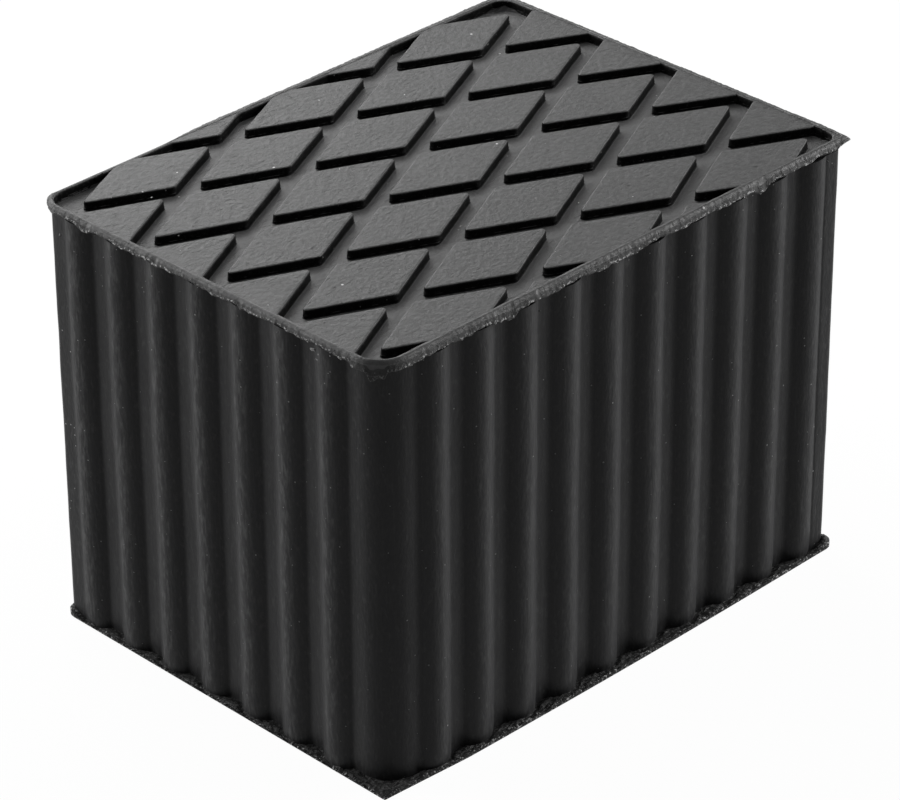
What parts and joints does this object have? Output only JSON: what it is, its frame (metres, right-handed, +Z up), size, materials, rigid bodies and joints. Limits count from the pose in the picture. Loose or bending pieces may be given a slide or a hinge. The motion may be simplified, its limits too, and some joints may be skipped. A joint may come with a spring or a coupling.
{
  "type": "car lift rubber pad",
  "caption": "Solid moulded rubber block for a vehicle lift, with ribbed walls, a raised diamond tread on top and a flat underside.",
  "frame": {"origin": "middle of the flat underside", "axes": "+Z up from the underside to the tread, +X along the length of the block, +Y along its width"},
  "size_m": [0.1614, 0.1214, 0.12],
  "materials": {
    "black_rubber": "moulded, dull, with torn flash at the rim and dust"
  },
  "bodies": {
    "root": {"pad": "black_rubber"}
  },
  "joints": []
}
